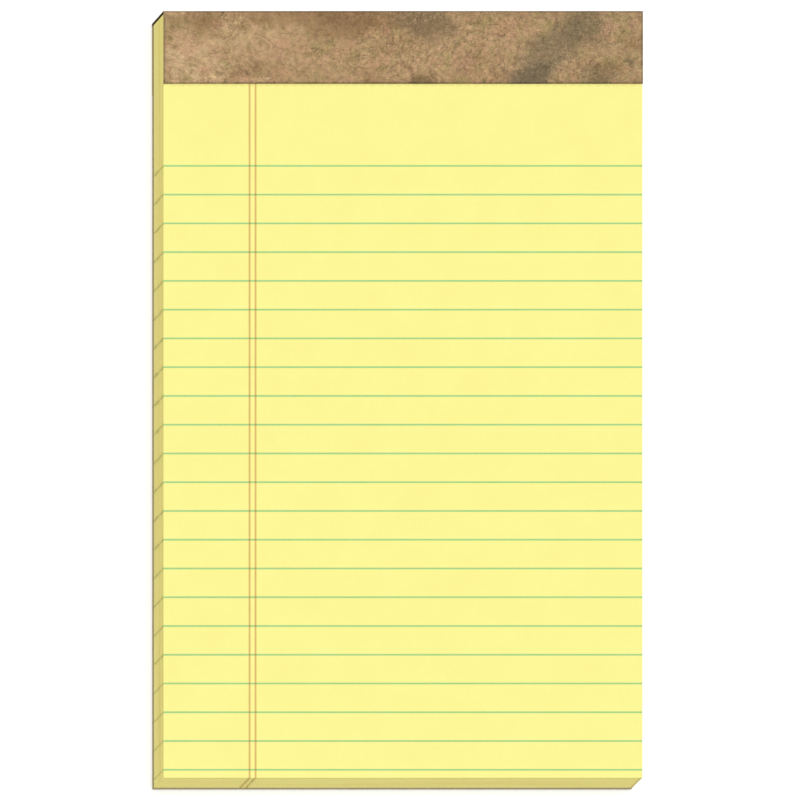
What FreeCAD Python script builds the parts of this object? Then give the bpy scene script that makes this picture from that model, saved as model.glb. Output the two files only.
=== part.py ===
import FreeCAD
import Part
import os
from math import cos, radians, sin

# A ruled legal pad, lying on its board with the ruled face up.
# X runs across the pad, Y runs up the page to the bound end, Z points out of the page.
# The origin is on the table, under the middle of the pad. Millimetres.

# Pad
pad_width = 127.0
pad_length = 203.2

# Sheets, all of one size and taken as one block
sheet_count = 50
sheet_thickness = 0.1

# Chipboard behind the sheets
board_thickness = 0.8

# Paper strip glued round the bound end
strip_thickness = 0.2
strip_front_leg = 19.3
strip_back_leg = 19.0

# Staples of flat wire through sheets and board, hidden under the strip
staple_count = 2
staple_spacing = 62.0
staple_from_end = 9.5
wire_width = 0.7
wire_thickness = 0.45
wire_bend = 0.4
crown_length = 12.7
clinch_length = 4.2
wire_clearance = 0.04

# Tear-off perforation just below the strip
perforation_below_strip = 0.5
perforation_slit = 1.5
perforation_tie = 0.8
perforation_width = 0.1

# Printed ruling: each line is a thin inlay of ink, flush with the page,
# that also shows where the ink meets the cut edges of the sheets
rule_pitch = 7.62
first_rule_from_end = 41.0
rule_width = 0.3
rule_depth = 0.06
margin_from_left = 22.86
margin_gap = 1.59
margin_width = 0.45
margin_depth = 0.03

# Worked out from the sizes above
block_height = sheet_count * sheet_thickness
bound_end = pad_length / 2
open_end = -pad_length / 2
sheet_end = bound_end - strip_thickness
sheet_length = sheet_end - open_end
left_edge = -pad_width / 2
board_bottom = strip_thickness
board_top = board_bottom + board_thickness
page = board_top + block_height
strip_edge = bound_end - strip_front_leg
staple_y = bound_end - staple_from_end
staple_top = page - wire_clearance
staple_bottom = board_bottom + wire_clearance


def box(x, y, z, width, length, height):
    """A block from its low corner and its size along X, Y and Z."""
    return Part.makeBox(width, length, height, FreeCAD.Vector(x, y, z))


def save(shape, node):
    """Writes one piece, cleaned of split faces, under its own name."""
    shape.removeSplitter().exportStep("parts/" + node + ".step")


# Staples

def rounded_block(middle_x, shrink, radius, width):
    """The outside of a staple's ring, shrunk by this much all round, with round corners."""
    low_x = middle_x - crown_length / 2 + shrink
    low_z = staple_bottom + shrink
    height = staple_top - staple_bottom - 2 * shrink
    block = box(low_x, staple_y - width / 2, low_z, crown_length - 2 * shrink, width, height)
    corners = [e for e in block.Edges if e.BoundBox.YLength > width / 2]
    return block.makeFillet(radius, corners)


def staple(middle_x, growth):
    """A clinched staple: crown, two legs and two tips turned inwards, grown all round by this much."""
    width = wire_width + 2 * growth
    outside = rounded_block(middle_x, -growth, wire_bend + wire_thickness + growth, width)
    inside = rounded_block(middle_x, wire_thickness + growth, wire_bend - growth, width)
    tip_gap = crown_length - 2 * clinch_length - 2 * growth
    between_tips = box(
        middle_x - tip_gap / 2, staple_y - width / 2, staple_bottom - growth,
        tip_gap, width, wire_thickness + 2 * growth,
    )
    return outside.cut([inside, between_tips])


def staple_room(middle_x):
    """What a staple takes out of sheets and board: its own form with clearance, open at both faces."""
    width = wire_width + 2 * wire_clearance
    span = crown_length + 2 * wire_clearance
    tip = clinch_length + 2 * wire_clearance
    low_x = middle_x - span / 2
    low_y = staple_y - width / 2
    depth = wire_thickness / 2
    crown_slot = box(low_x, low_y, staple_top - depth, span, width, depth + wire_clearance)
    tip_slots = [
        box(x, low_y, board_bottom, tip, width, depth + wire_clearance)
        for x in (low_x, low_x + span - tip)
    ]
    return [staple(middle_x, wire_clearance), crown_slot] + tip_slots


staple_middles = [(i - (staple_count - 1) / 2) * staple_spacing for i in range(staple_count)]
staple_rooms = [room for x in staple_middles for room in staple_room(x)]


# Perforation

def perforation_slits():
    """The row of slits that the sheets tear along, centred across the page."""
    pitch = perforation_slit + perforation_tie
    count = int((pad_width - perforation_tie) / pitch)
    first = -(count * pitch - perforation_tie) / 2
    y = strip_edge - perforation_below_strip - perforation_width / 2
    return [
        box(first + i * pitch, y, board_top, perforation_slit, perforation_width, block_height)
        for i in range(count)
    ]


# Printed ruling

def shell_round_block(depth):
    """The outermost layer of the sheet block on its page, sides and ends, this deep."""
    outside = box(left_edge, open_end, board_top, pad_width, sheet_length, block_height)
    core = box(
        left_edge + depth, open_end + depth, board_top,
        pad_width - 2 * depth, sheet_length - 2 * depth, block_height - depth,
    )
    return outside.cut(core)


def margin_lines():
    """Two lines up the page near its left edge, and their marks on the cut ends."""
    layer = shell_round_block(margin_depth)
    places = [left_edge + margin_from_left + i * margin_gap for i in range(2)]
    return [
        layer.common(box(x - margin_width / 2, open_end, board_top, margin_width, sheet_length, block_height))
        for x in places
    ]


def rules():
    """The writing lines across the page, and their marks on the cut sides."""
    layer = shell_round_block(rule_depth)
    first = bound_end - first_rule_from_end
    count = 1 + int((first - open_end - rule_width / 2) / rule_pitch)
    places = [first - i * rule_pitch for i in range(count)]
    return [
        layer.common(box(left_edge, y - rule_width / 2, board_top, pad_width, rule_width, block_height))
        for y in places
    ]


# Pieces

def staples():
    return Part.Compound([staple(x, 0) for x in staple_middles])


def printed_margins():
    return Part.Compound(margin_lines()).cut(perforation_slits())


def printed_rules():
    """The rules lie deeper than the margin lines, so each runs unbroken beneath them."""
    return Part.Compound(rules()).cut(margin_lines())


def sheet_block():
    block = box(left_edge, open_end, board_top, pad_width, sheet_length, block_height)
    return block.cut(perforation_slits() + staple_rooms + rules() + margin_lines())


def backing_board():
    board = box(left_edge, open_end, board_bottom, pad_width, sheet_length, board_thickness)
    return board.cut(staple_rooms)


def binding_strip():
    """One strip of paper folded tight over the bound end, flush with both sides."""
    def at(y, z):
        return FreeCAD.Vector(left_edge, y, z)

    def straight(y0, z0, y1, z1):
        return Part.LineSegment(at(y0, z0), at(y1, z1)).toShape()

    def fold(edge_z, start_deg):
        """A quarter round about the sharp edge of sheets or board."""
        points = [
            at(sheet_end + strip_thickness * cos(radians(turn)), edge_z + strip_thickness * sin(radians(turn)))
            for turn in (start_deg, start_deg - 45, start_deg - 90)
        ]
        return Part.Arc(*points).toShape()

    top = page + strip_thickness
    back_edge = bound_end - strip_back_leg
    outline = Part.Wire([
        straight(strip_edge, page, strip_edge, top),
        straight(strip_edge, top, sheet_end, top),
        fold(page, 90),
        straight(bound_end, page, bound_end, board_bottom),
        fold(board_bottom, 0),
        straight(sheet_end, 0, back_edge, 0),
        straight(back_edge, 0, back_edge, board_bottom),
        straight(back_edge, board_bottom, sheet_end, board_bottom),
        straight(sheet_end, board_bottom, sheet_end, page),
        straight(sheet_end, page, strip_edge, page),
    ])
    return Part.Face(outline).extrude(FreeCAD.Vector(pad_width, 0, 0))


os.makedirs("parts", exist_ok=True)
for piece in (sheet_block, backing_board, binding_strip, staples, printed_rules, printed_margins):
    save(piece(), piece.__name__)
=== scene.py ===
"""The looks of a small ruled legal pad: sheets, printed ruling, chipboard back, staples and folded strip."""

import logging
import math
import random
from dataclasses import dataclass, field
from enum import Enum
from typing import Any

import bpy
from mathutils import Matrix, Vector


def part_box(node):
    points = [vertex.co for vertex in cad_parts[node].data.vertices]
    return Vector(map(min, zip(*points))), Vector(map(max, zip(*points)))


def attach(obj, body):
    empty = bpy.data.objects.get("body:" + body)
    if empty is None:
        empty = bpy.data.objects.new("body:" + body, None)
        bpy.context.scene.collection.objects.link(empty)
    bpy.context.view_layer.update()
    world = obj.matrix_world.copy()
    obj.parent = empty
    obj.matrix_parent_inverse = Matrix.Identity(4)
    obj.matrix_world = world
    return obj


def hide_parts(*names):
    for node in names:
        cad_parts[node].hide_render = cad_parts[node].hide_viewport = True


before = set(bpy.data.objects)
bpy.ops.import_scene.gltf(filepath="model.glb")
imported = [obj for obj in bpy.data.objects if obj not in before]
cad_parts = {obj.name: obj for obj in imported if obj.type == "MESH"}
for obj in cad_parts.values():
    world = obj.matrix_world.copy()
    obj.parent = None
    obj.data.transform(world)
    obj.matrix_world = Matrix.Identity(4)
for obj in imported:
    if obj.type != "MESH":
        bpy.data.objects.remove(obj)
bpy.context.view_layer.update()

log = logging.getLogger("legal_pad")

Pair = tuple[float, float]
Triple = tuple[float, float, float]
Colour = tuple[float, float, float, float]
Tree = bpy.types.NodeTree
Socket = bpy.types.NodeSocket
Paint = Socket | Colour | str
Piece = bpy.types.Object
Material = bpy.types.Material

MM = 0.001
HAIR = 1e-6
BAKE_MAP = "OFBake"
MAP_RIM = 0.01
RELIEF_STRENGTH = 0.5
# The values that most of a noise lies between, and nearly all of it
MOST = (0.35, 0.65)
NEARLY_ALL = (0.3, 0.7)


class Side(Enum):
    """The sides of the pad, named as a reader of the upright page sees them, and the walls of its slits."""

    PAGE = "page"
    UNDERSIDE = "underside"
    LEFT = "left"
    RIGHT = "right"
    OPEN_END = "open end"
    BOUND_END = "bound end"
    SLIT = "slit"


# Helpers for colour and nodes

def linear(hex_code: str) -> Colour:
    """Turns an sRGB hex colour into the linear values that shaders work in.

    Args:
        hex_code: six hex digits, such as "FFF798".

    Returns:
        Linear red, green, blue and an alpha of 1.
    """
    values = [int(hex_code[i:i + 2], 16) / 255 for i in (0, 2, 4)]
    red, green, blue = [v / 12.92 if v <= 0.04045 else ((v + 0.055) / 1.055) ** 2.4 for v in values]
    return red, green, blue, 1.0


def add(tree: Tree, kind: str, inputs: dict[str | int, Any] | None = None,
        **settings: Any) -> bpy.types.Node:
    """Adds one node with its settings and links.

    Args:
        tree: the nodes that it joins.
        kind: the node's type without the leading "ShaderNode".
        inputs: a value or another node's output for each named or numbered input.
        **settings: the node's own properties, such as operation.

    Returns:
        The new node.
    """
    node = tree.nodes.new("ShaderNode" + kind)
    for name, value in settings.items():
        setattr(node, name, value)
    for key, value in (inputs or {}).items():
        if isinstance(value, Socket):
            tree.links.new(value, node.inputs[key])
        else:
            node.inputs[key].default_value = value
    return node


def blank_material(name: str) -> tuple[Material, Tree]:
    """Makes a node material that holds nothing yet, and returns it with its tree."""
    material = bpy.data.materials.new(name)
    material.use_nodes = True
    material.node_tree.nodes.clear()
    return material, material.node_tree


def place(tree: Tree, grain: Triple) -> Socket:
    """Object coordinates divided by a grain size along each axis.

    Args:
        tree: the nodes that it joins.
        grain: how long one grain of the pattern is along X, Y and Z, in millimetres.

    Returns:
        The scaled coordinates.
    """
    coordinates = add(tree, "TexCoord").outputs["Object"]
    scale = tuple(1 / (size * MM) for size in grain)
    return add(tree, "Mapping", {"Vector": coordinates, "Scale": scale}).outputs["Vector"]


def spread(tree: Tree, value: Socket, low: float, high: float, to_low: float = 0.0,
           to_high: float = 1.0) -> Socket:
    """Carries a value from one range to another, held at its ends.

    Args:
        tree: the nodes that it joins.
        value: the value to carry over.
        low: what becomes to_low.
        high: what becomes to_high.
        to_low: the new range's value for low.
        to_high: the new range's value for high.

    Returns:
        The value in its new range.
    """
    inputs = {"Value": value, "From Min": low, "From Max": high, "To Min": to_low, "To Max": to_high}
    return add(tree, "MapRange", inputs).outputs["Result"]


def blend(tree: Tree, amount: Socket | float, under: Paint, over: Paint, how: str = "MIX") -> Socket:
    """Lays one colour over another. Either can be a node's output, linear values or a hex code.

    Args:
        tree: the nodes that it joins.
        amount: how much of the upper colour shows, from 0 to 1.
        under: the lower colour.
        over: the upper colour.
        how: Blender's name for the way they mix.

    Returns:
        The mixed colour.
    """
    under, over = (linear(paint) if isinstance(paint, str) else paint for paint in (under, over))
    inputs = {0: amount, 6: under, 7: over}
    return add(tree, "Mix", inputs, data_type="RGBA", blend_type=how).outputs[2]


def axes(tree: Tree) -> bpy.types.NodeOutputs:
    """Object coordinates as three values named X, Y and Z, in metres."""
    coordinates = add(tree, "TexCoord").outputs["Object"]
    return add(tree, "SeparateXYZ", {"Vector": coordinates}).outputs


def noise(tree: Tree, where: Socket, detail: float = 2.0, roughness: float = 0.5,
          distortion: float = 0.0) -> Socket:
    """Soft random blotches, each about one unit of the given coordinates across."""
    inputs = {"Vector": where, "Scale": 1.0, "Detail": detail, "Roughness": roughness}
    return add(tree, "TexNoise", inputs | {"Distortion": distortion}).outputs["Fac"]


def reckon(tree: Tree, how: str, *values: Any, **settings: Any) -> Socket:
    """Works out one value from others, by Blender's name for the sum."""
    return add(tree, "Math", dict(enumerate(values)), operation=how, **settings).outputs[0]


def reckon_vector(tree: Tree, how: str, *values: Any) -> Socket:
    """Works out one vector from others, by Blender's name for the sum."""
    return add(tree, "VectorMath", dict(enumerate(values)), operation=how).outputs[0]


def faces_along(tree: Tree, axis: str) -> Socket:
    """How squarely a surface faces along an axis, either way, from 0 to 1."""
    normal = add(tree, "NewGeometry").outputs["Normal"]
    return reckon(tree, "ABSOLUTE", add(tree, "SeparateXYZ", {"Vector": normal}).outputs[axis])


def seen_by_camera(tree: Tree) -> Socket:
    """1 for rays that reach the camera straight, off a glossy face or through a clear one, else 0."""
    rays = add(tree, "LightPath").outputs
    mirrored = reckon(tree, "MAXIMUM", rays["Is Camera Ray"], rays["Is Glossy Ray"])
    return reckon(tree, "MAXIMUM", mirrored, rays["Is Transmission Ray"])


def dapple(tree: Tree, colour: Socket, *layers: tuple[Socket, float, float, float, str]) -> Socket:
    """Lays tints over a colour where patterns run high.

    Args:
        tree: the nodes that it joins.
        colour: what they lie over.
        *layers: for each tint its pattern, the values at which it starts and is full, its strength
            and its hex colour.

    Returns:
        The dappled colour.
    """
    for pattern, start, full, strength, tint in layers:
        colour = blend(tree, spread(tree, pattern, start, full, 0.0, strength), colour, tint)
    return colour


def finish_shader(tree: Tree, shader: bpy.types.Node) -> None:
    """Connects a shader to the material's surface."""
    add(tree, "OutputMaterial", {"Surface": shader.outputs[0]})


def coat(tree: Tree, colour: Socket, roughness: float | Socket, shine: float = 0.5,
         metallic: float = 0.0, height: Socket | None = None, relief_mm: float = 0.0) -> None:
    """Ends a material with its surface.

    Args:
        tree: the nodes that it joins.
        colour: its colour.
        roughness: how matt it is, from 0 to 1.
        shine: how strongly it reflects, 0.5 being usual.
        metallic: 1 for bare metal.
        height: the pattern of its fine relief, if it has any.
        relief_mm: how deep that relief is.
    """
    inputs = {
        "Base Color": colour,
        "Roughness": roughness,
        "Metallic": metallic,
        "Specular IOR Level": shine,
    }
    if height is not None:
        relief = {"Height": height, "Distance": relief_mm * MM, "Strength": RELIEF_STRENGTH}
        inputs["Normal"] = add(tree, "Bump", relief).outputs["Normal"]
    finish_shader(tree, add(tree, "BsdfPrincipled", inputs))


# Helpers for meshes

def deselect() -> None:
    """Leaves nothing selected, because an operator acts on all that is."""
    bpy.ops.object.select_all(action="DESELECT")


def make_active(piece: Piece) -> None:
    """Makes this the one selected and active object."""
    deselect()
    piece.select_set(True)
    bpy.context.view_layer.objects.active = piece


def settle(piece: Piece) -> None:
    """Writes a piece's place, turn and size into its mesh."""
    make_active(piece)
    bpy.ops.object.transform_apply(location=True, rotation=True, scale=True)


def apply_modifier(piece: Piece, kind: str, **settings: Any) -> None:
    """Adds a modifier with its settings to a piece and applies it."""
    make_active(piece)
    modifier = piece.modifiers.new(kind.title(), kind)
    for name, value in settings.items():
        setattr(modifier, name, value)
    bpy.ops.object.modifier_apply(modifier=modifier.name)


def repeat(piece: Piece, count: int, step: Triple) -> None:
    """Makes a piece a row of itself, each copy one step further."""
    apply_modifier(piece, "ARRAY", count=count, use_relative_offset=False,
                   use_constant_offset=True, constant_offset_displace=step)


def face_outwards(piece: Piece) -> None:
    """Turns all of a piece's faces the same way, outwards where it is closed."""
    make_active(piece)
    bpy.ops.object.mode_set(mode="EDIT")
    bpy.ops.mesh.select_all(action="SELECT")
    bpy.ops.mesh.normals_make_consistent(inside=False)
    bpy.ops.object.mode_set(mode="OBJECT")


def put_on(piece: Piece, *finishes: Material) -> None:
    """Gives a piece these materials in place of those it has."""
    piece.data.materials.clear()
    for finish in finishes:
        piece.data.materials.append(finish)


def block(low: Vector, high: Vector) -> Piece:
    """A cube primitive that fills the space between two corners, to be shaped further."""
    deselect()
    bpy.ops.mesh.primitive_cube_add(size=1, location=(low + high) / 2)
    piece = bpy.context.object
    piece.scale = high - low
    settle(piece)
    return piece


def christen(piece: Piece, name: str) -> None:
    """Names a piece and its mesh."""
    piece.name = name
    piece.data.name = name


def join(pieces: list[Piece], name: str) -> Piece:
    """Joins pieces into the first one and names it."""
    make_active(pieces[0])
    for piece in pieces[1:]:
        piece.select_set(True)
    bpy.ops.object.join()
    christen(pieces[0], name)
    return pieces[0]


@dataclass(frozen=True)
class Patch:
    """A rectangle of the bake map: which two axes run across it and up it, and its corners."""

    across: int
    up: int
    left: float
    bottom: float
    right: float
    top: float


@dataclass
class BakeLayout:
    """Lays each side of a flat piece on its own patch of one bake map, the page side largest."""

    patches: dict[Side, Patch]
    level: float = 0.5
    square: float = 0.7

    def side_of(self, normal: Vector, centre: Vector, low: Vector, high: Vector, rim: bool) -> Side:
        """Picks the side that a face shows on.

        Args:
            normal: the face's normal.
            centre: the face's middle.
            low: the piece's lowest corner.
            high: the piece's highest corner.
            rim: whether the face belongs to the piece's rim, whatever way it points.

        Returns:
            The side whose patch the face goes on.
        """
        gaps = {
            Side.LEFT: centre.x - low.x,
            Side.RIGHT: high.x - centre.x,
            Side.OPEN_END: centre.y - low.y,
            Side.BOUND_END: high.y - centre.y,
        }
        inside = min(gaps.values()) > MM
        if abs(normal.z) > self.level and (inside or not rim):
            return Side.PAGE if normal.z > 0 else Side.UNDERSIDE
        if inside and rim:
            return Side.SLIT
        if abs(normal.x) > self.square:
            return Side.LEFT if normal.x < 0 else Side.RIGHT
        if abs(normal.y) > self.square:
            return Side.OPEN_END if normal.y < 0 else Side.BOUND_END
        return min(gaps, key=gaps.get)

    def lay(self, piece: Piece, rim_slot: int = -1) -> None:
        """Gives a piece its bake map.

        Args:
            piece: the finished piece.
            rim_slot: the material slot of its rim faces, or -1 if it has none.
        """
        mesh = piece.data
        spots = [v.co for v in mesh.vertices]
        low = Vector(min(c[i] for c in spots) for i in range(3))
        high = Vector(max(c[i] for c in spots) for i in range(3))
        layer = mesh.uv_layers.new(name=BAKE_MAP)
        for face in mesh.polygons:
            rim = face.material_index == rim_slot
            patch = self.patches[self.side_of(face.normal, face.center, low, high, rim)]
            for corner in face.loop_indices:
                spot = mesh.vertices[mesh.loops[corner].vertex_index].co
                shares = [
                    (spot[axis] - low[axis]) / (high[axis] - low[axis])
                    for axis in (patch.across, patch.up)
                ]
                layer.data[corner].uv = (
                    patch.left + shares[0] * (patch.right - patch.left),
                    patch.bottom + shares[1] * (patch.top - patch.bottom),
                )


FLAT_LAYOUT = BakeLayout({
    Side.PAGE: Patch(0, 1, 0.01, 0.01, 0.63, 0.99),
    Side.LEFT: Patch(2, 1, 0.65, 0.01, 0.73, 0.99),
    Side.RIGHT: Patch(2, 1, 0.75, 0.01, 0.83, 0.99),
    Side.OPEN_END: Patch(2, 0, 0.85, 0.01, 0.91, 0.62),
    Side.BOUND_END: Patch(2, 0, 0.93, 0.01, 0.99, 0.62),
    Side.UNDERSIDE: Patch(0, 1, 0.85, 0.64, 0.99, 0.93),
    Side.SLIT: Patch(0, 2, 0.85, 0.95, 0.99, 0.99),
})


# Finishes

@dataclass(frozen=True)
class WovePaper:
    """Uncoated yellow writing paper, smooth off the calender: quite matt, with a faint cloudy formation."""

    colour: str = "FFF999"
    cloud_colour: str = "FFF796"
    cloud_mm: float = 9.0
    fibre_mm: Triple = (0.45, 1.125, 0.45)
    fibre_shade: float = 0.985
    tooth_mm: float = 0.006
    roughness: float = 0.85
    shine: float = 0.12

    def material(self) -> Material:
        """Builds the page's material."""
        material, tree = blank_material("wove_writing_paper")
        clouds = noise(tree, place(tree, (self.cloud_mm,) * 3), detail=3.0)
        fibres = noise(tree, place(tree, self.fibre_mm), detail=3.0)
        colour = blend(tree, spread(tree, clouds, *MOST), self.colour, self.cloud_colour)
        shade = spread(tree, fibres, *NEARLY_ALL, self.fibre_shade, 1.0)
        colour = blend(tree, 1.0, colour, shade, "MULTIPLY")
        coat(tree, colour, self.roughness, self.shine, height=fibres, relief_mm=self.tooth_mm)
        return material


@dataclass(frozen=True)
class GlueAndGapShade:
    """Dark brown band at the bound end of sheets and board: part padding compound, part painted shade of the
    gap.
    """

    colour: str = "1F1204"
    depth_mm: float = 0.62
    fade_mm: float = 0.06

    def over(self, tree: Tree, colour: Paint, bound_end: float) -> Socket:
        """Lays the band of compound and painted shade over a colour where a surface comes near the bound
        end.

        Args:
            tree: the nodes that it joins.
            colour: what it lies over.
            bound_end: where the sheets end along Y.

        Returns:
            The colour with the band.
        """
        # Painted shade of the gap under the strip, partly real padding compound
        start, fade = bound_end - self.depth_mm * MM, self.fade_mm * MM
        soaked = spread(tree, axes(tree)["Y"], start - fade, start + fade)
        return blend(tree, soaked, colour, self.colour)


@dataclass(frozen=True)
class GuillotinedEdges:
    """The cut sides of the stack, a little darker than the page, with painted shade where sheet meets sheet.

    The real lines are a tenth of a millimetre apart. They are drawn as streaks of several
    sheets, so that some of them show from a step away.
    """

    low: Vector
    high: Vector
    colour: str = "F4E993"
    head_colour: str = "E8E089"
    painted_light_foot_colour: str = "FFF6AC"
    gap_shade_colour: str = "D9C976"
    corner_colour: str = "A89D62"
    corner_mm: Pair = (0.9, 0.6)
    corner_strength: float = 0.4
    end_mm: Pair = (0.3, 0.2)
    head_mm: Pair = (0.5, 0.2)
    foot_mm: Pair = (0.3, 0.8)
    sheet_mm: Triple = (34.0, 34.0, 0.1)
    streak_mm: Triple = (54.4, 54.4, 0.42)
    relief_mm: float = 0.02
    roughness: float = 0.9
    shine: float = 0.1
    glue_and_gap_shade: GlueAndGapShade = GlueAndGapShade()

    def darkened_right_corner(self, tree: Tree, colour: Socket) -> Socket:
        """Darkens the open end towards its right corner.

        Args:
            tree: the nodes that it joins.
            colour: what it lies over.

        Returns:
            The shaded colour.
        """
        on_pad = axes(tree)
        near_right = spread(tree, on_pad["X"], *(self.high.x - reach * MM for reach in self.corner_mm))
        inner, outer = (self.low.y + reach * MM for reach in self.end_mm)
        on_end = spread(tree, on_pad["Y"], inner, outer, 0.0, self.corner_strength)
        return blend(tree, reckon(tree, "MULTIPLY", near_right, on_end), colour, self.corner_colour)

    def material(self) -> Material:
        """Builds the cut sides' material."""
        material, tree = blank_material("guillotined_sheet_edges")
        sheets = noise(tree, place(tree, self.sheet_mm), detail=1.0)
        streaks = noise(tree, place(tree, self.streak_mm))
        height = axes(tree)["Z"]
        near_page = spread(tree, height, *(self.high.z - reach * MM for reach in self.head_mm))
        # Painted light: the cut sides are made lighter towards the board
        painted_light_near_board = spread(tree, height, *(self.low.z + reach * MM for reach in self.foot_mm), 1.0, 0.0)
        colour = blend(tree, near_page, self.colour, self.head_colour)
        colour = blend(tree, painted_light_near_board, colour, self.painted_light_foot_colour)
        # Painted shade of the gaps between sheets, in random streaks
        colour = dapple(
            tree, colour,
            (streaks, 0.45, 0.7, 0.35, self.gap_shade_colour),
            (sheets, 0.56, 0.72, 0.3, self.gap_shade_colour),
        )
        # Near the bound end: painted shade of the gap under the strip, partly padding compound
        colour = self.glue_and_gap_shade.over(tree, self.darkened_right_corner(tree, colour), self.high.y)
        coat(tree, colour, self.roughness, self.shine, height=sheets, relief_mm=self.relief_mm)
        return material


@dataclass(frozen=True)
class Crossing:
    """Where a line of another ink runs under this one: the first place, the step and the width along Y."""

    first: float
    step: float
    width: float
    colour: str


@dataclass(frozen=True)
class RulingInk:
    """Thin litho ink on uncoated paper: flat, a little stronger in some places, faint on the cut edges."""

    name: str
    colour: str
    strong_colour: str
    edge_colour: str
    patch_mm: float = 5.0
    fade_mm: float = 0.02
    blur: float = 0.2
    roughness: float = 0.8
    shine: float = 0.15

    def material(self, page: float, crossing: Crossing | None = None) -> Material:
        """Builds an ink's material.

        Args:
            page: the height of the page.
            crossing: the ink lines that run under this one, if any.

        Returns:
            The material.
        """
        material, tree = blank_material(self.name)
        patches = noise(tree, place(tree, (self.patch_mm,) * 3), detail=4.0, roughness=0.6)
        on_pad = axes(tree)
        colour = blend(tree, spread(tree, patches, *NEARLY_ALL), self.colour, self.strong_colour)
        if crossing:
            from_first = reckon(tree, "SUBTRACT", on_pad["Y"], crossing.first)
            away = reckon(tree, "PINGPONG", from_first, crossing.step / 2)
            edge = crossing.width / 2
            outer = edge * (1 + self.blur)
            on_line = spread(tree, away, edge * (1 - self.blur), outer, 1.0, 0.0)
            below_first = spread(tree, from_first, edge, outer, 1.0, 0.0)
            on_line = reckon(tree, "MULTIPLY", on_line, below_first)
            colour = blend(tree, on_line, colour, crossing.colour)
        on_edge = spread(tree, on_pad["Z"], page - self.fade_mm * MM, page, 1.0, 0.0)
        colour = blend(tree, on_edge, colour, self.edge_colour)
        coat(tree, colour, self.roughness, self.shine)
        return material


@dataclass(frozen=True)
class Stain:
    """One soft, ragged stain of the parchment print, placed in millimetres on the pad."""

    x: float
    y: float
    reach_x: float
    reach_y: float
    turn_deg: float
    colour: str
    strength: float
    softness: float = 0.6
    reach_z: float = 1000.0

    def over(self, tree: Tree, where: Socket, colour: Socket) -> Socket:
        """Lays the stain over a colour.

        Args:
            tree: the nodes that it joins.
            where: ragged coordinates, in millimetres.
            colour: what it lies over.

        Returns:
            The stained colour.
        """
        local = add(tree, "Mapping", {
            "Vector": where,
            "Location": (self.x, self.y, 0),
            "Rotation": (0, 0, math.radians(self.turn_deg)),
            "Scale": (self.reach_x, self.reach_y, self.reach_z),
        }, vector_type="TEXTURE").outputs["Vector"]
        away = add(tree, "VectorMath", {0: local}, operation="LENGTH").outputs["Value"]
        soft = self.softness / 2
        amount = spread(tree, away, 1.0 + soft, 1.0 - soft, 0.0, self.strength)
        return blend(tree, amount, colour, self.colour)


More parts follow.
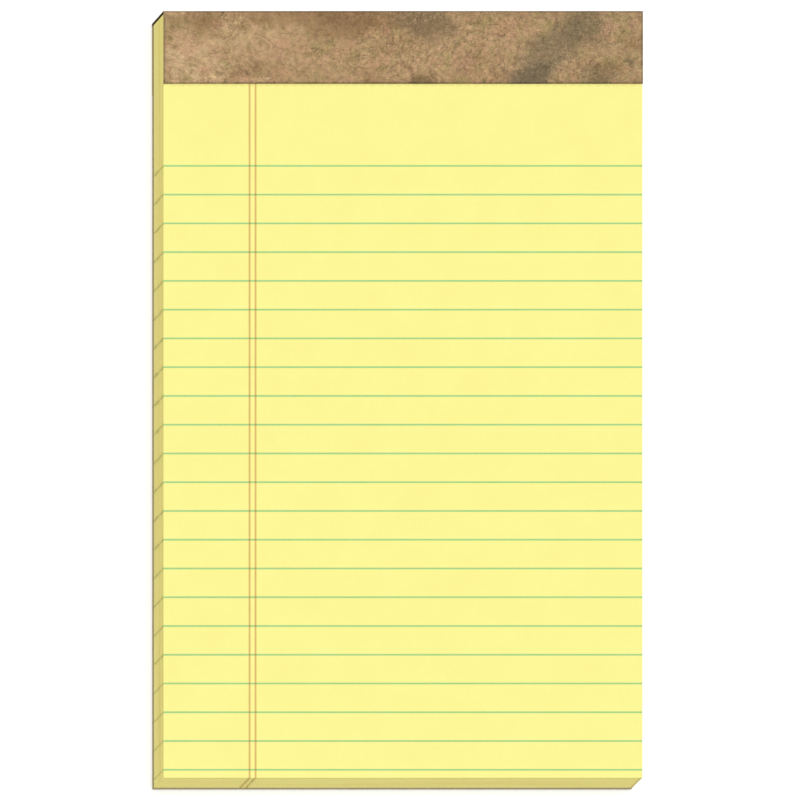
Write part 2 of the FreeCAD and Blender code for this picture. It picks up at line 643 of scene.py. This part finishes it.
@dataclass(frozen=True)
class ParchmentPrint:
    """Smooth brown wrapping paper printed like old parchment: stained, scuffed, pitted and cracked."""

    low: Vector
    high: Vector
    left_colour: str = "CDAD82"
    middle_colour: str = "B6956C"
    right_colour: str = "AB8F68"
    cloud: str = "95774F"
    blush: str = "BD8F70"
    olive: str = "9B8A55"
    dark: str = "67502F"
    crack_colour: str = "4E3B22"
    lip_colour: str = "CDB791"
    core_colour: str = "B79F74"
    scuffing: Pair = (0.5, 0.9)
    right_roughness: float = 0.7
    rim_painted_shade: float = 0.64
    rim_mm: float = 0.46
    rim_fade_mm: float = 0.12
    ragged_stain_mm: Pair = (6.0, 10.0)
    ragged_crack_mm: Pair = (3.0, 6.0)
    crinkle_slope: float = 0.6
    zone_mm: Triple = (13.0, 9.0, 10.0)
    zone_range: Pair = (0.46, 0.6)
    pit_mm: Triple = (1.0, 0.8, 0.9)
    pit_range: Pair = (0.6, 0.69)
    vein_mm: Triple = (9.0, 7.0, 8.0)
    vein_reach: float = 0.03
    crack_mm: float = 6.5
    crack_reach: Pair = (0.04, 0.005)
    break_mm: float = 3.0
    break_range: Pair = (0.54, 0.68)
    line_strength: float = 0.4
    cut_facing: Pair = (0.8, 0.9)
    tooth_mm: float = 0.5
    relief_mm: float = 0.01
    roughness: Pair = (0.55, 0.68)
    shine: float = 0.2
    glue_and_gap_shade: GlueAndGapShade = GlueAndGapShade()
    stains: tuple[Stain, ...] = (
        Stain(-12, 100.5, 14, 4.5, 0, "84633F", 0.66, 1.0),
        Stain(-16, 98, 6, 4.5, 0, "8B6A48", 0.45, 0.9),
        Stain(6, 98.5, 8, 4.5, -15, "7F6A4C", 0.74, 0.9),
        Stain(-38, 101, 15, 3, 0, "8D6C46", 0.5, 1.0),
        Stain(-53, 98.0, 3.2, 2.2, 30, "8B6A46", 0.5, 0.9),
        Stain(-59, 98.5, 3.5, 2.4, 10, "83693F", 0.45, 0.9),
        Stain(-40, 86, 6, 2, 5, "8E6C47", 0.45, 0.9),
        Stain(39, 91, 14, 4.6, 43, "7D6C50", 0.7, 0.7),
        Stain(48, 97.5, 6, 6, 25, "77664A", 0.6, 0.5),
        Stain(34.5, 84.0, 6, 3.2, 15, "6A5D47", 0.8, 0.7),
        Stain(52, 83.5, 5, 3, 0, "786545", 0.7, 0.9),
        Stain(5, 83.5, 4, 1.8, 0, "745D3C", 0.8, 0.6),
        Stain(59.5, 88, 1.6, 0.7, 0, "6B5E48", 0.7),
    )

    def crinkled(self, tree: Tree, colour: Socket, grain_mm: float, shift_mm: float,
                 strength: float) -> Socket:
        """Shades crinkles as light from one side shows them: pale on one flank and dark on the other.

        Args:
            tree: the nodes that it joins.
            colour: what they lie on.
            grain_mm: how wide one crinkle is.
            shift_mm: how far apart its two flanks are.
            strength: how far the shade goes from the colour.

        Returns:
            The crinkled colour.
        """
        flanks = []
        for shift in (0.0, shift_mm / grain_mm):
            here = place(tree, (grain_mm,) * 3)
            moved = reckon_vector(tree, "ADD", here, (shift, shift * self.crinkle_slope, 0))
            flanks.append(noise(tree, moved, detail=4.0, roughness=0.62, distortion=0.6))
        shade = reckon(tree, "MULTIPLY_ADD", reckon(tree, "SUBTRACT", *flanks), strength, 1.0)
        return blend(tree, 1.0, colour, shade, "MULTIPLY")

    def ragged(self, tree: Tree, patch_mm: float, reach_mm: float) -> Socket:
        """Object coordinates in millimetres, pushed about by noise so that edges become ragged.

        Args:
            tree: the nodes that it joins.
            patch_mm: how wide one push is.
            reach_mm: how far it pushes at most.

        Returns:
            The ragged coordinates.
        """
        inputs = {"Vector": place(tree, (patch_mm,) * 3), "Scale": 1.0, "Detail": 6.0, "Roughness": 0.7}
        drift = add(tree, "TexNoise", inputs).outputs["Color"]
        centred = reckon_vector(tree, "SUBTRACT", drift, (0.5,) * 3)
        push = reckon_vector(tree, "MULTIPLY", centred, (reach_mm, reach_mm, 0))
        coordinates = add(tree, "TexCoord").outputs["Object"]
        return reckon_vector(tree, "MULTIPLY_ADD", coordinates, (1 / MM,) * 3, push)

    def ground(self, tree: Tree) -> Socket:
        """The broad colours: paler on the left, clouded and tinted all over, with the stains on top."""
        x = axes(tree)["X"]
        past_left = spread(tree, x, self.low.x, self.low.x / 3)
        colour = blend(tree, past_left, self.left_colour, self.middle_colour)
        colour = blend(tree, spread(tree, x, 0, self.high.x), colour, self.right_colour)
        # Grain in millimetres, the noise's values where it starts and is full, strength and tint
        tints = (
            ((13, 8, 8), 0.50, 0.66, 0.65, self.cloud),
            ((6, 4, 5), 0.52, 0.64, 0.6, self.cloud),
            ((7, 5, 5), 0.50, 0.66, 0.55, self.blush),
            ((5, 5, 5.5), 0.51, 0.68, 0.55, self.olive),
            ((2.4, 2, 2.4), 0.50, 0.66, 0.45, self.blush),
            ((2, 2.4, 2.2), 0.51, 0.67, 0.45, self.olive),
        )
        for grain, *layer in tints:
            colour = dapple(tree, colour, (noise(tree, place(tree, grain), 4.0, 0.6), *layer))
        where = self.ragged(tree, *self.ragged_stain_mm)
        for stain in self.stains:
            colour = stain.over(tree, where, colour)
        return colour

    def roughness_zones(self, tree: Tree) -> Socket:
        """How rough the print looks, from 0 to 1: calm on the left but for patches, rough on the right."""
        patches = spread(tree, noise(tree, place(tree, self.zone_mm)), *self.zone_range)
        left, right = self.low.x / 2, self.high.x / 2
        by_side = spread(tree, axes(tree)["X"], left, right, 0.0, self.right_roughness)
        return reckon(tree, "ADD", patches, by_side, use_clamp=True)

    def pitted(self, tree: Tree, colour: Socket, rough: Socket) -> Socket:
        """Scatters small dark pits, each with a pale lip on one side.

        Args:
            tree: the nodes that it joins.
            colour: what they lie on.
            rough: where there are many of them.

        Returns:
            The pitted colour.
        """
        for shift, tint, strength in ((0.4, self.lip_colour, 0.35), (0.0, self.dark, 0.6)):
            moved = reckon_vector(tree, "ADD", place(tree, self.pit_mm), (-shift, shift, 0))
            pits = noise(tree, moved, detail=1.5, distortion=1.6)
            amount = reckon(tree, "MULTIPLY", spread(tree, pits, *self.pit_range, 0.0, strength), rough)
            colour = blend(tree, amount, colour, tint)
        return colour

    def cracked(self, tree: Tree, colour: Socket) -> Socket:
        """Draws dark veins and a few fine, broken cracks.

        Args:
            tree: the nodes that it joins.
            colour: what they lie on.

        Returns:
            The cracked colour.
        """
        flow = noise(tree, place(tree, self.vein_mm), detail=4.0, distortion=2.2)
        from_vein = reckon(tree, "ABSOLUTE", reckon(tree, "SUBTRACT", flow, 0.5))
        vein = spread(tree, from_vein, self.vein_reach, 0.0, 0.0, self.line_strength)
        colour = blend(tree, vein, colour, self.dark)
        inputs = {"Vector": self.ragged(tree, *self.ragged_crack_mm), "Scale": 1 / self.crack_mm}
        away = add(tree, "TexVoronoi", inputs, feature="DISTANCE_TO_EDGE").outputs["Distance"]
        broken = spread(tree, noise(tree, place(tree, (self.break_mm,) * 3)), *self.break_range)
        crack = reckon(tree, "MULTIPLY", spread(tree, away, *self.crack_reach), broken)
        crack = reckon(tree, "MULTIPLY", crack, self.line_strength)
        return blend(tree, crack, colour, self.crack_colour)

    def scuffed(self, tree: Tree, ground: Socket) -> Socket:
        """Lays crinkles, grain, pits, veins and a few fine cracks over the ground.

        Args:
            tree: the nodes that it joins.
            ground: what they lie on.

        Returns:
            The scuffed colour.
        """
        colour = self.crinkled(tree, ground, 3.6, 0.7, 0.65)
        colour = self.crinkled(tree, colour, 1.5, 0.35, 0.9)
        for grain_mm, strength in ((1.3, 0.6), (0.6, 0.42)):
            value = noise(tree, place(tree, (grain_mm,) * 3), roughness=0.7)
            shade = spread(tree, value, 0.25, 0.75, 1 - strength / 2, 1 + strength / 2)
            colour = blend(tree, 1.0, colour, shade, "MULTIPLY")
        rough = self.roughness_zones(tree)
        colour = blend(tree, spread(tree, rough, 0.0, 1.0, *self.scuffing), ground, colour)
        return self.cracked(tree, self.pitted(tree, colour, rough))

    def rimmed(self, tree: Tree, colour: Socket) -> Socket:
        """Darkens a fine line along all four edges of the front, as painted shade of the fold and the cut
        edges.

        Args:
            tree: the nodes that it joins.
            colour: what the line lies over.

        Returns:
            The colour with its line.
        """
        on_pad = axes(tree)
        rim, fade = self.rim_mm * MM, self.rim_fade_mm * MM
        edges = (
            (reckon(tree, "ABSOLUTE", on_pad["X"]), self.high.x - rim, fade),
            (on_pad["Y"], self.high.y - rim, fade),
            (on_pad["Y"], self.low.y + rim, -fade),
        )
        # Painted shade along the fold and the cut edges of the front
        shade = 1.0
        for where, line, soft in edges:
            darker = spread(tree, where, line - soft, line + soft, 1.0, self.rim_painted_shade)
            shade = reckon(tree, "MINIMUM", shade, darker)
        return blend(tree, 1.0, colour, shade, "MULTIPLY")

    def material(self) -> Material:
        """Builds the strip's material."""
        material, tree = blank_material("parchment_printed_kraft")
        colour = self.rimmed(tree, self.scuffed(tree, self.ground(tree)))
        cut = spread(tree, faces_along(tree, "X"), *self.cut_facing)
        # Cut edges show the paper's core, with painted gap shade and padding compound near the bound end
        colour = blend(tree, cut, colour, self.glue_and_gap_shade.over(tree, self.core_colour, self.high.y))
        tooth = noise(tree, place(tree, (self.tooth_mm,) * 3))
        roughness = spread(tree, tooth, *NEARLY_ALL, *self.roughness)
        coat(tree, colour, roughness, self.shine, height=tooth, relief_mm=self.relief_mm)
        return material


@dataclass(frozen=True)
class Chipboard:
    """Grey-brown board pressed from waste paper: short dark and pale fibres, yellower where it is cut."""

    colour: str = "A3987F"
    cloud_colour: str = "978B72"
    dark_fibre: str = "6B5E48"
    pale_fibre: str = "CBC0A3"
    cut_colour: str = "B3A672"
    cloud_mm: Triple = (14.0, 14.0, 3.0)
    long_fibre_mm: Triple = (2.6, 0.35, 0.3)
    cross_fibre_mm: Triple = (0.35, 2.2, 0.3)
    speck_mm: Triple = (0.8, 0.8, 0.4)
    cut_facing: Pair = (0.6, 0.4)
    relief_mm: float = 0.03
    roughness: float = 0.92
    shine: float = 0.1
    glue_and_gap_shade: GlueAndGapShade = GlueAndGapShade()

    def material(self, bound_end: float) -> Material:
        """Builds the board's material.

        Args:
            bound_end: where the board ends along Y.

        Returns:
            The material.
        """
        material, tree = blank_material("recycled_chipboard")
        clouds = noise(tree, place(tree, self.cloud_mm), detail=4.0)
        long_fibres = noise(tree, place(tree, self.long_fibre_mm), detail=3.0, roughness=0.7)
        cross_fibres = noise(tree, place(tree, self.cross_fibre_mm), detail=3.0, roughness=0.7)
        specks = noise(tree, place(tree, self.speck_mm))
        colour = blend(tree, spread(tree, clouds, *MOST), self.colour, self.cloud_colour)
        cut = spread(tree, faces_along(tree, "Z"), *self.cut_facing)
        colour = dapple(
            tree, blend(tree, cut, colour, self.cut_colour),
            (long_fibres, 0.58, 0.75, 0.45, self.dark_fibre),
            (cross_fibres, 0.6, 0.75, 0.45, self.pale_fibre),
            (specks, 0.7, 0.78, 0.8, self.dark_fibre),
        )
        # Painted shade of the gap under the strip at the bound end, partly padding compound
        colour = self.glue_and_gap_shade.over(tree, colour, bound_end)
        coat(tree, colour, self.roughness, self.shine, height=long_fibres, relief_mm=self.relief_mm)
        return material


@dataclass(frozen=True)
class GalvanisedWire:
    """Drawn steel staple wire with a thin zinc coat: light grey, with fine lines along the draw."""

    colour: str = "C4C6C8"
    dull_colour: str = "A6A9AC"
    line_mm: Triple = (2.0, 0.05, 2.0)
    roughness: Pair = (0.3, 0.45)

    def material(self) -> Material:
        """Builds the wire's material."""
        material, tree = blank_material("galvanised_staple_wire")
        lines = noise(tree, place(tree, self.line_mm))
        colour = blend(tree, spread(tree, lines, *MOST), self.colour, self.dull_colour)
        coat(tree, colour, spread(tree, lines, *NEARLY_ALL, *self.roughness), metallic=1.0)
        return material


# Sub-assemblies

@dataclass
class SheetStack:
    """The block of ruled sheets: one closed body with a small ledge at the edge of each sheet."""

    sheets: int = 50
    shuffle_mm: float = 0.035
    inset_mm: float = 0.055
    groove_share: float = 0.2
    slit_mm: float = 1.5
    tie_mm: float = 0.8
    slit_width_mm: float = 0.04
    slit_below_strip_mm: float = 0.5
    slit_depth_mm: float = 0.8
    slit_clear_mm: float = 0.5
    level_from: float = 0.9
    seed: int = 11
    low: Vector = field(init=False)
    high: Vector = field(init=False)
    steps: list[Vector] = field(init=False)

    def __post_init__(self) -> None:
        """Reads the block's place from the frame and draws how far each sheet lies out of line."""
        self.low, self.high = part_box("sheet_block")
        draw = random.Random(self.seed)
        reach = self.shuffle_mm * MM
        self.steps = [
            Vector((draw.uniform(-reach, reach), draw.uniform(-reach, reach), 0))
            for _ in range(self.sheets - 1)
        ]
        self.steps.append(Vector((0, 0, 0)))

    @property
    def sheet(self) -> float:
        """One sheet's thickness."""
        return (self.high.z - self.low.z) / self.sheets

    def stack(self) -> Piece:
        """Extrudes the block upwards sheet by sheet, each a hair out of line, with a groove between."""
        inset = self.inset_mm * MM
        deselect()
        bpy.ops.mesh.primitive_plane_add(size=1, location=((self.low + self.high) / 2).xy.to_3d())
        piece = bpy.context.object
        piece.location.z = self.low.z
        piece.scale = (self.high.x - self.low.x - 2 * inset, self.high.y - self.low.y - 2 * inset, 1)
        settle(piece)
        bpy.ops.object.mode_set(mode="EDIT")
        bpy.ops.mesh.select_all(action="SELECT")
        bpy.ops.transform.translate(value=self.steps[0])
        groove = self.sheet * self.groove_share
        for index in range(self.sheets):
            last = index == self.sheets - 1
            rise = self.sheet if last else self.sheet - groove
            bpy.ops.mesh.extrude_region_move(TRANSFORM_OT_translate={"value": (0, 0, rise)})
            if not last:
                shift = self.steps[index + 1] - self.steps[index] + Vector((0, 0, groove))
                bpy.ops.mesh.extrude_region_move(TRANSFORM_OT_translate={"value": shift})
        bpy.ops.object.mode_set(mode="OBJECT")
        face_outwards(piece)
        return piece

    def perforate(self, piece: Piece, strip_edge: float) -> None:
        """Cuts the tear-off slits through the upper sheets.

        Args:
            piece: the stack.
            strip_edge: where the strip's front leg ends along Y.
        """
        pitch = (self.slit_mm + self.tie_mm) * MM
        count = int((self.high.x - self.low.x - self.tie_mm * MM) / pitch)
        start = -(count * pitch - self.tie_mm * MM) / 2
        y = strip_edge - self.slit_below_strip_mm * MM
        half = self.slit_width_mm * MM / 2
        cutter = block(
            Vector((start, y - half, self.high.z - self.slit_depth_mm * MM)),
            Vector((start + self.slit_mm * MM, y + half, self.high.z + self.slit_clear_mm * MM)),
        )
        repeat(cutter, count, (pitch, 0, 0))
        apply_modifier(piece, "BOOLEAN", operation="DIFFERENCE", solver="EXACT", object=cutter)
        bpy.data.objects.remove(cutter)

    def build(self, strip_edge: float) -> Piece:
        """Makes the finished stack.

        Args:
            strip_edge: where the strip's front leg ends along Y.

        Returns:
            The stack, dressed and riding on the pad.
        """
        piece = self.stack()
        self.perforate(piece, strip_edge)
        christen(piece, "paper_block")
        put_on(piece, WovePaper().material(), GuillotinedEdges(self.low, self.high).material())
        for face in piece.data.polygons:
            high_up = face.center.z > self.high.z - self.sheet / 2
            on_page = high_up and face.normal.z > self.level_from
            face.material_index = 0 if on_page else 1
        FLAT_LAYOUT.lay(piece, rim_slot=1)
        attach(piece, "root")
        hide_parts("sheet_block")
        return piece


@dataclass
class Ruling:
    """The printed lines: a film of ink on the page, and its mark on each sheet's cut edge.

    The green ink of the rules has soaked a little way into the paper on both sides of each line.
    """

    stack: SheetStack
    pitch_mm: float = 7.62
    margin_width_mm: float = 0.45
    film_mm: float = 0.02
    margin_film_mm: float = 0.036
    under_strip_mm: float = 2.0
    ragged_mm: float = 0.006
    spread_mm: float = 0.06
    rule_cuts: int = 24
    margin_cuts: int = 40
    seed: int = 5
    margin_seed: int = 105

    @property
    def rule_width(self) -> float:
        """What the rules' box leaves for one line when all the whole steps are taken off."""
        low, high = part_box("printed_rules")
        return math.fmod(high.y - low.y, self.pitch_mm * MM)

    def line(self, low: Vector, high: Vector, cuts: int, seed: int) -> Piece:
        """One printed line on the page, with slightly ragged sides.

        Args:
            low: the line's lowest corner.
            high: the line's highest corner.
            cuts: how many times it is divided along its length.
            seed: what its raggedness is drawn from.

        Returns:
            The line.
        """
        piece = block(low, high)
        size = high - low
        axis = 0 if size.x > size.y else 1
        along = Vector((1 - axis, axis, 0))
        bpy.ops.object.mode_set(mode="EDIT")
        for index in range(1, cuts):
            bpy.ops.mesh.select_all(action="SELECT")
            bpy.ops.mesh.bisect(plane_co=low + along * size[axis] * index / cuts, plane_no=along)
        bpy.ops.object.mode_set(mode="OBJECT")
        draw = random.Random(seed)
        for vertex in piece.data.vertices:
            if low[axis] + HAIR < vertex.co[axis] < high[axis] - HAIR:
                vertex.co[1 - axis] += draw.uniform(-1, 1) * self.ragged_mm * MM
        return piece

    def marks(self, low: Pair, high: Pair, count: int,
              step: Triple) -> list[Piece]:
        """Makes the ink's marks on the cut edges, a row for every sheet and in line with it.

        Args:
            low: the first mark's lowest corner along X and Y.
            high: its highest corner along X and Y.
            count: how many marks a row has.
            step: from one mark to the next.

        Returns:
            The rows.
        """
        foot = self.stack.low.z
        tick = block(Vector((*low, foot)), Vector((*high, foot + self.stack.sheet)))
        repeat(tick, count, step)
        rows = []
        for index, shift in enumerate(self.stack.steps):
            row = tick.copy()
            row.data = tick.data.copy()
            row.data.transform(Matrix.Translation(shift + Vector((0, 0, index * self.stack.sheet))))
            bpy.context.collection.objects.link(row)
            rows.append(row)
        bpy.data.objects.remove(tick)
        return rows

    def rules(self) -> Piece:
        """The writing lines, across the page and down both cut sides."""
        low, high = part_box("printed_rules")
        pitch = self.pitch_mm * MM
        count = round((high.y - low.y) / pitch) + 1
        width = self.rule_width
        film = self.film_mm * MM
        soak = self.spread_mm * MM
        inset = self.stack.inset_mm * MM
        page = self.stack.high.z
        pieces = []
        for index in range(count):
            top = high.y - index * pitch
            pieces.append(self.line(
                Vector((low.x + inset, top - width - soak, page)),
                Vector((high.x - inset, top + soak, page + film)),
                self.rule_cuts, self.seed + index,
            ))
        for x in (low.x + inset - film, high.x - inset):
            pieces += self.marks((x, high.y - width), (x + film, high.y), count, (0, -pitch, 0))
        ink = RulingInk("green_litho_ink", colour="AAD88F", strong_colour="A2D487", edge_colour="C9C97D")
        return self.dress(join(pieces, "rule_lines"), "printed_rules", ink.material(page))

    def margins(self) -> Piece:
        """The margin lines, up the page and down the open end."""
        low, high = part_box("printed_margins")
        rules_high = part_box("printed_rules")[1]
        width = self.margin_width_mm * MM
        film = self.film_mm * MM
        inset = self.stack.inset_mm * MM
        page = self.stack.high.z
        strip_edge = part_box("binding_strip")[0].y
        gap = high.x - low.x - width
        pieces = []
        for index in range(2):
            x = low.x + index * gap
            pieces.append(self.line(
                Vector((x, low.y + inset, page)),
                Vector((x + width, strip_edge + self.under_strip_mm * MM, page + self.margin_film_mm * MM)),
                self.margin_cuts, self.margin_seed + index,
            ))
        edge = low.y + inset
        pieces += self.marks((low.x, edge - film), (low.x + width, edge), 2, (gap, 0, 0))
        crossing = Crossing(
            first=rules_high.y - self.rule_width / 2,
            step=self.pitch_mm * MM,
            width=self.rule_width + 2 * self.spread_mm * MM,
            colour="A5A05A",
        )
        ink = RulingInk("red_litho_ink", colour="E1C076", strong_colour="DDB86E", edge_colour="D5BE70")
        return self.dress(join(pieces, "margin_lines"), "printed_margins",
                          ink.material(page, crossing))

    def dress(self, piece: Piece, node: str, ink: Material) -> Piece:
        """Gives printed lines their ink and their place on the pad.

        Args:
            piece: the joined lines.
            node: the CAD node that they stand for.
            ink: their material.

        Returns:
            The same piece.
        """
        put_on(piece, ink)
        FLAT_LAYOUT.lay(piece)
        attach(piece, "root")
        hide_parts(node)
        return piece


# Bands of the strip's bake map, each from its foot to its head
STRIP_BANDS = {
    "outside": (0.01, 0.80),
    "inside": (0.81, 0.89),
    "left cut": (0.90, 0.915),
    "right cut": (0.925, 0.94),
    "front end": (0.95, 0.965),
    "back end": (0.975, 0.99),
}


@dataclass
class BindingStrip:
    """One strip of printed paper, folded tight over the bound end."""

    paper_mm: float = 0.16
    fold_mm: float = 0.14
    back_leg_short_mm: float = 0.3
    fold_steps: int = 6
    weld_m: float = 1e-7
    smooth_deg: float = 40.0
    low: Vector = field(init=False)
    high: Vector = field(init=False)

    def __post_init__(self) -> None:
        """Reads the strip's place from the frame."""
        self.low, self.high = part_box("binding_strip")

    def fold_sheet(self) -> Piece:
        """Folds a flat sheet in two places: front leg, fold, end, fold and back leg."""
        half, radius = self.paper_mm * MM / 2, self.fold_mm * MM
        top, foot = self.high.z - half, self.low.z + half
        crease = self.high.y - half - radius
        deselect()
        bpy.ops.mesh.primitive_plane_add(size=1, location=(0, (self.low.y + crease) / 2, top))
        piece = bpy.context.object
        piece.scale = (self.high.x - self.low.x, crease - self.low.y, 1)
        settle(piece)
        bpy.ops.object.mode_set(mode="EDIT")
        bpy.ops.mesh.select_mode(type="EDGE")
        bpy.ops.mesh.select_all(action="DESELECT")
        bpy.ops.object.mode_set(mode="OBJECT")
        for edge in piece.data.edges:
            edge.select = all(piece.data.vertices[i].co.y > crease - HAIR for i in edge.vertices)
        bpy.ops.object.mode_set(mode="EDIT")
        turn = {"steps": self.fold_steps, "angle": math.pi / 2, "axis": (1, 0, 0)}
        bpy.ops.mesh.spin(center=(0, crease, top - radius), **turn)
        drop = (foot + radius) - (top - radius)
        bpy.ops.mesh.extrude_region_move(TRANSFORM_OT_translate={"value": (0, 0, drop)})
        bpy.ops.mesh.spin(center=(0, crease, foot + radius), **turn)
        back = self.low.y + self.back_leg_short_mm * MM - crease
        bpy.ops.mesh.extrude_region_move(TRANSFORM_OT_translate={"value": (0, back, 0)})
        bpy.ops.mesh.select_all(action="SELECT")
        bpy.ops.mesh.remove_doubles(threshold=self.weld_m)
        bpy.ops.object.mode_set(mode="OBJECT")
        face_outwards(piece)
        return piece

    def unrolled(self, spot: Vector) -> Pair:
        """Finds where a point of the strip lies when the strip is laid flat.

        Args:
            spot: a point of the strip.

        Returns:
            How far it is from the front edge, and how far out from the folds' centre line.
        """
        half, radius = self.paper_mm * MM / 2, self.fold_mm * MM
        crease = self.high.y - half - radius
        upper, lower = self.high.z - half - radius, self.low.z + half + radius
        front, bend, end = crease - self.low.y, radius * math.pi / 2, upper - lower
        if spot.y <= crease:
            if spot.z > (upper + lower) / 2:
                return spot.y - self.low.y, spot.z - upper
            return front + 2 * bend + end + crease - spot.y, lower - spot.z
        if spot.z >= upper:
            turned = math.atan2(spot.y - crease, spot.z - upper)
            return front + radius * turned, math.hypot(spot.y - crease, spot.z - upper)
        if spot.z > lower:
            return front + bend + upper - spot.z, spot.y - crease
        turned = math.atan2(lower - spot.z, spot.y - crease)
        return front + bend + end + radius * turned, math.hypot(spot.y - crease, lower - spot.z)

    def lay_flat(self, piece: Piece) -> None:
        """Gives the strip its bake map: outside, inside and cut edges, each laid flat on its own band."""
        mesh = piece.data
        places = [self.unrolled(v.co) for v in mesh.vertices]
        alongs, outs = zip(*places)
        length, near, far = max(alongs), min(outs), max(outs)
        layer = mesh.uv_layers.new(name=BAKE_MAP)
        for face in mesh.polygons:
            depths = [(outs[i] - near) / (far - near) for i in face.vertices]
            if min(depths) > 0.5 or max(depths) < 0.5:
                band = "outside" if depths[0] > 0.5 else "inside"
            elif abs(face.normal.x) > 0.5:
                band = "left cut" if face.normal.x < 0 else "right cut"
            else:
                band = "front end" if alongs[face.vertices[0]] < length / 2 else "back end"
            foot, head = STRIP_BANDS[band]
            for corner, index, depth in zip(face.loop_indices, face.vertices, depths):
                run = alongs[index] / length
                across = (mesh.vertices[index].co.x - self.low.x) / (self.high.x - self.low.x)
                sideways = run if "cut" in band else across
                upwards = run if band in ("outside", "inside") else depth
                layer.data[corner].uv = (
                    MAP_RIM + (1 - 2 * MAP_RIM) * sideways,
                    foot + (head - foot) * upwards,
                )

    def build(self) -> Piece:
        """Makes the finished strip, dressed and riding on the pad."""
        piece = self.fold_sheet()
        apply_modifier(piece, "SOLIDIFY", thickness=self.paper_mm * MM, offset=0.0, use_even_offset=True)
        face_outwards(piece)
        bpy.ops.object.shade_smooth_by_angle(angle=math.radians(self.smooth_deg))
        christen(piece, "folded_strip")
        put_on(piece, ParchmentPrint(self.low, self.high).material())
        self.lay_flat(piece)
        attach(piece, "root")
        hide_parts("binding_strip")
        return piece


@dataclass
class Studio:
    """A white table under soft light, and a camera that looks at the pad slantwise, as a drawing does."""

    frame_mm: float = 211.98
    lens_mm: float = 1000.0
    slant: Pair = (0.516, 0.545)
    aim_mm: Pair = (-0.775, -1.44)
    white: str = "FFFFFF"
    table_colour: str = "E7E7E7"
    sky: float = 0.76
    sun: float = 0.76
    floor_glow: float = 0.38
    floor_drop_mm: float = 0.02
    floor_m: float = 16.0
    sun_spread_deg: float = 50.0
    clip_shares: Pair = (0.1, 4.0)

    def floor(self) -> None:
        """A white table top that shows white to the camera and keeps the pad's shadow."""
        deselect()
        bpy.ops.mesh.primitive_plane_add(size=self.floor_m, location=(0, 0, -self.floor_drop_mm * MM))
        table = bpy.context.object
        table.name = "table_top"
        material, tree = blank_material("white_table")
        plain = add(tree, "BsdfDiffuse", {"Color": linear(self.table_colour)})
        glow = add(tree, "Emission", {"Color": linear(self.white), "Strength": self.floor_glow})
        lifted = add(tree, "AddShader", {0: plain.outputs[0], 1: glow.outputs[0]})
        shaders = {0: seen_by_camera(tree), 1: plain.outputs[0], 2: lifted.outputs[0]}
        finish_shader(tree, add(tree, "MixShader", shaders))
        put_on(table, material)

    def light(self) -> None:
        """An even sky and one wide soft lamp overhead."""
        world = bpy.data.worlds.new("white_studio")
        bpy.context.scene.world = world
        world.use_nodes = True
        tree = world.node_tree
        tree.nodes.clear()
        strength = spread(tree, seen_by_camera(tree), 0.0, 1.0, self.sky, 1.0)
        sky = add(tree, "Background", {"Color": linear(self.white), "Strength": strength})
        add(tree, "OutputWorld", {"Surface": sky.outputs[0]})
        lamp = bpy.data.lights.new("overhead_softbox", "SUN")
        lamp.energy = self.sun
        lamp.angle = math.radians(self.sun_spread_deg)
        holder = bpy.data.objects.new("overhead_softbox", lamp)
        bpy.context.scene.collection.objects.link(holder)

    def camera(self, page: float) -> None:
        """A long lens whose view is slanted, so that the page stays a true rectangle and two sides show.

        Args:
            page: the height of the page.
        """
        lens = bpy.data.cameras.new("slant_camera")
        lens.lens = self.lens_mm
        away = self.frame_mm * MM * self.lens_mm / lens.sensor_width
        lens.clip_start, lens.clip_end = (share * away for share in self.clip_shares)
        viewer = bpy.data.objects.new("slant_camera", lens)
        rig = bpy.data.objects.new("camera_rig", None)
        for item in (viewer, rig):
            bpy.context.scene.collection.objects.link(item)
        slant = Matrix.Identity(4)
        slant.col[2] = Vector((-self.slant[0], -self.slant[1], 1)).normalized().to_4d()
        slant[3][2] = 0
        target = Vector((self.aim_mm[0] * MM, self.aim_mm[1] * MM, page))
        viewer.parent = rig
        viewer.matrix_parent_inverse = Matrix.Translation(target) @ slant
        viewer.location = (0, 0, away)
        bpy.context.scene.camera = viewer


def main() -> None:
    """Builds the pad's pieces in order and dresses what the frame brings."""
    logging.basicConfig(level=logging.INFO, format="%(name)s: %(message)s")
    stack = SheetStack()
    ruling = Ruling(stack)
    strip = BindingStrip()
    for piece in (stack.build(strip.low.y), ruling.rules(), ruling.margins(), strip.build()):
        log.info("%s: %d faces", piece.name, len(piece.data.polygons))
    dressed = {
        "backing_board": Chipboard().material(stack.high.y),
        "staples": GalvanisedWire().material(),
    }
    for node, material in dressed.items():
        put_on(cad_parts[node], material)
        log.info("%s: dressed in %s", node, material.name)
    studio = Studio()
    studio.floor()
    studio.light()
    studio.camera(stack.high.z)
    bpy.context.scene.view_settings.view_transform = "Standard"


if __name__ == "__main__":
    main()
